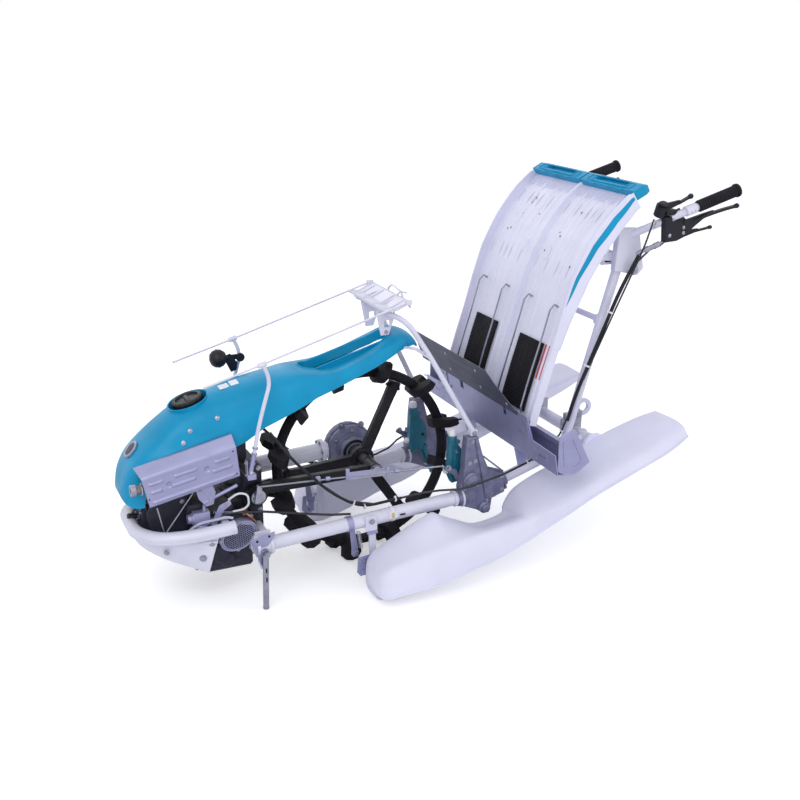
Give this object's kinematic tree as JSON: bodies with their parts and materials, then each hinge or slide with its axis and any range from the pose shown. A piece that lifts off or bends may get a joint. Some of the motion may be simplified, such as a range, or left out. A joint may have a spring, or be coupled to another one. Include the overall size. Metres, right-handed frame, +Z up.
{
  "type": "two-row rice transplanter",
  "caption": "Walk-behind rice transplanter with one centre wheel, engine under a long hood, floats, planting arms and a sloping seedling tray.",
  "frame": {"origin": "on the ground under the middle of the machine: half way along its length, on its middle plane", "axes": "+X forward, towards the engine; +Y to the operator's left; +Z up"},
  "size_m": [1.9566, 0.9, 1.2029],
  "materials": {
    "wheel_rim": "matte",
    "wheel_spider": "satin",
    "frame_tube_left": "satin",
    "frame_tube_right": "satin",
    "rear_frame": "satin",
    "front_bumper": "satin",
    "engine": "matte",
    "recoil_cover": "satin",
    "transmission": "matte",
    "muffler": "satin",
    "exhaust_guard": "satin",
    "air_cleaner": "satin",
    "chain_case": "satin",
    "hub_gearcase": "matte",
    "left_wheel_arm": "matte",
    "hood": "gloss",
    "fuel_cap": "satin",
    "fuel_tank": "satin",
    "mat_rack": "satin",
    "lift_lever": "gloss",
    "rear_struts": "satin",
    "planter_case_left": "matte",
    "planter_case_right": "matte",
    "planter_crank_left": "satin",
    "planter_crank_right": "satin",
    "planting_arm_left": "satin",
    "planting_arm_right": "satin",
    "seedling_guide": "satin",
    "guide_shield": "satin",
    "feed_shaft": "satin",
    "seedling_tray": "satin",
    "tray_cap": "satin",
    "feed_belt_left": "matte",
    "feed_belt_right": "matte",
    "mat_rods": "satin",
    "float_left": "satin",
    "float_right": "satin",
    "float_link_left": "satin",
    "float_link_right": "satin",
    "stand_leg": "satin",
    "grip_left": "matte",
    "grip_right": "matte",
    "control_left": "satin",
    "control_right": "satin",
    "cable_left": "satin",
    "cable_right": "satin",
    "cable_throttle": "satin",
    "cable_engine": "satin",
    "shift_rod": "satin"
  },
  "bodies": {
    "frame": {"frame_tube_left": "frame_tube_left", "frame_tube_right": "frame_tube_right", "rear_frame": "rear_frame", "front_bumper": "front_bumper", "engine": "engine", "recoil_cover": "recoil_cover", "transmission": "transmission", "muffler": "muffler", "exhaust_guard": "exhaust_guard", "air_cleaner": "air_cleaner", "chain_case": "chain_case", "hub_gearcase": "hub_gearcase", "left_wheel_arm": "left_wheel_arm", "hood": "hood", "fuel_cap": "fuel_cap", "fuel_tank": "fuel_tank", "mat_rack": "mat_rack", "lift_lever": "lift_lever", "rear_struts": "rear_struts", "planter_case_left": "planter_case_left", "planter_case_right": "planter_case_right", "seedling_guide": "seedling_guide", "guide_shield": "guide_shield", "feed_shaft": "feed_shaft", "float_left": "float_left", "float_right": "float_right", "float_link_left": "float_link_left", "float_link_right": "float_link_right", "grip_left": "grip_left", "grip_right": "grip_right", "control_left": "control_left", "control_right": "control_right", "cable_left": "cable_left", "cable_right": "cable_right", "cable_throttle": "cable_throttle", "cable_engine": "cable_engine", "shift_rod": "shift_rod"},
    "wheel": {"wheel_rim": "wheel_rim", "wheel_spider": "wheel_spider"},
    "tray": {"seedling_tray": "seedling_tray", "tray_cap": "tray_cap", "feed_belt_left": "feed_belt_left", "feed_belt_right": "feed_belt_right", "mat_rods": "mat_rods"},
    "crank_left": {"planter_crank_left": "planter_crank_left"},
    "arm_left": {"planting_arm_left": "planting_arm_left"},
    "crank_right": {"planter_crank_right": "planter_crank_right"},
    "arm_right": {"planting_arm_right": "planting_arm_right"},
    "stand": {"stand_leg": "stand_leg"}
  },
  "joints": [
    {"name": "wheel_spin", "type": "hinge", "parent": "frame", "child": "wheel", "pos_m": [0.192, 0, 0.33], "axis": [0, 1, 0], "continuous": true},
    {"name": "tray_slide", "type": "slide", "parent": "frame", "child": "tray", "axis": [0, 1, 0], "range_m": [-0.13, 0.13]},
    {"name": "crank_left_spin", "type": "hinge", "parent": "frame", "child": "crank_left", "pos_m": [-0.093, 0.17, 0.285], "axis": [0, 1, 0], "continuous": true},
    {"name": "arm_left_pivot", "type": "hinge", "parent": "crank_left", "child": "arm_left", "pos_m": [-0.093, 0.149, 0.32], "axis": [0, 1, 0], "continuous": true},
    {"name": "crank_right_spin", "type": "hinge", "parent": "frame", "child": "crank_right", "pos_m": [-0.093, -0.17, 0.285], "axis": [0, 1, 0], "continuous": true},
    {"name": "arm_right_pivot", "type": "hinge", "parent": "crank_right", "child": "arm_right", "pos_m": [-0.093, -0.149, 0.32], "axis": [0, 1, 0], "continuous": true},
    {"name": "stand_fold", "type": "hinge", "parent": "frame", "child": "stand", "pos_m": [0.605, 0.247, 0.183], "axis": [0, 1, 0], "range_deg": [0, 90]}
  ],
  "couplings": [
    {"joint": "arm_left_pivot", "follows": "crank_left_spin", "ratio": -1},
    {"joint": "crank_right_spin", "follows": "crank_left_spin", "ratio": 1},
    {"joint": "arm_right_pivot", "follows": "crank_left_spin", "ratio": -1}
  ]
}
